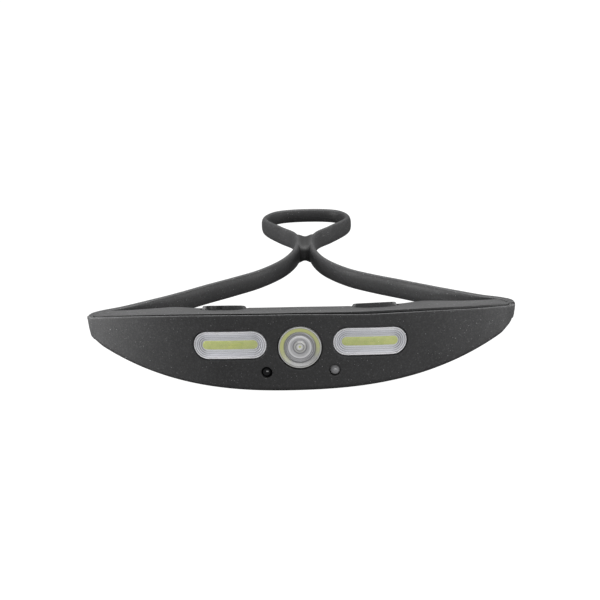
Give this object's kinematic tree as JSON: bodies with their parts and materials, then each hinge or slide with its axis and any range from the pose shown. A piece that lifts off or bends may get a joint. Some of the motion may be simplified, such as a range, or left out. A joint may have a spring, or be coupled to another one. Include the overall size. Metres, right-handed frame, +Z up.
{
  "type": "headlamp",
  "caption": "Curved silicone headlamp with two side floodlights, a middle spotlight, a hand-wave sensor, top buttons and a stretch strap with a rear hanging loop.",
  "frame": {"origin": "middle of the flat land on the forehead pad", "axes": "+Y away from the lamp towards the head, -Y along the beams, +Z up on the forehead, +X to the viewer's right when facing the lamp"},
  "size_m": [0.1578, 0.182, 0.0302],
  "materials": {
    "silicone": "matte moulded silicone, dark grey",
    "black_plastic": "matte moulded ABS",
    "white_plastic": "satin white moulded ABS",
    "clear_lens": "clear moulded polycarbonate",
    "dark_lens": "infrared-pass epoxy, nearly black",
    "phosphor": "yellow-green phosphor in silicone",
    "board_green": "glass-fibre board with green solder mask",
    "board_white": "aluminium board with white solder mask",
    "steel": "nickel-plated steel",
    "cell_wrap": "laminated foil pouch",
    "red_wire": "red PVC insulation",
    "black_wire": "black PVC insulation"
  },
  "bodies": {
    "lamp": {"front_cover": "silicone", "body_shell": "silicone", "forehead_pad": "silicone", "strap_arm_right": "silicone", "strap_arm_left": "silicone", "strap_bridge": "silicone", "hang_loop": "silicone", "cob_window_left": "clear_lens", "window_seal_left": "silicone", "cob_reflector_left": "white_plastic", "cob_phosphor_left": "phosphor", "cob_board_left": "board_white", "cob_window_right": "clear_lens", "window_seal_right": "silicone", "cob_reflector_right": "white_plastic", "cob_phosphor_right": "phosphor", "cob_board_right": "board_white", "spot_lens": "clear_lens", "spot_seal": "silicone", "spot_holder": "white_plastic", "spot_led": "phosphor", "inner_frame": "black_plastic", "main_board": "board_green", "board_screw_1": "steel", "board_screw_2": "steel", "board_screw_3": "steel", "board_screw_4": "steel", "usb_socket": "steel", "battery_cell": "cell_wrap", "ir_receiver": "dark_lens", "ir_emitter": "clear_lens", "battery_lead_positive": "red_wire", "cob_lead_left": "red_wire", "cob_lead_right": "red_wire", "battery_lead_negative": "black_wire", "switch_lead_left": "black_wire", "switch_lead_right": "black_wire", "tact_switch_left": "steel", "switch_board_left": "board_green", "tact_switch_right": "steel", "switch_board_right": "board_green"},
    "sensor_button": {"sensor_button": "silicone", "sensor_button_actuator": "black_plastic"},
    "power_button": {"power_button": "silicone", "power_button_actuator": "black_plastic"},
    "usb_flap": {"usb_flap": "silicone"}
  },
  "joints": [
    {"name": "power_button_press", "type": "slide", "parent": "lamp", "child": "power_button", "axis": [0, 0, -1], "range_m": [0, 0.0005], "stiffness_N_per_m": 3000},
    {"name": "sensor_button_press", "type": "slide", "parent": "lamp", "child": "sensor_button", "axis": [0, 0, -1], "range_m": [0, 0.0005], "stiffness_N_per_m": 3000},
    {"name": "usb_flap_hinge", "type": "hinge", "parent": "lamp", "child": "usb_flap", "pos_m": [-0.00815, -0.01205, -0.01645], "axis": [0, 1, 0], "range_deg": [0, 110]}
  ]
}
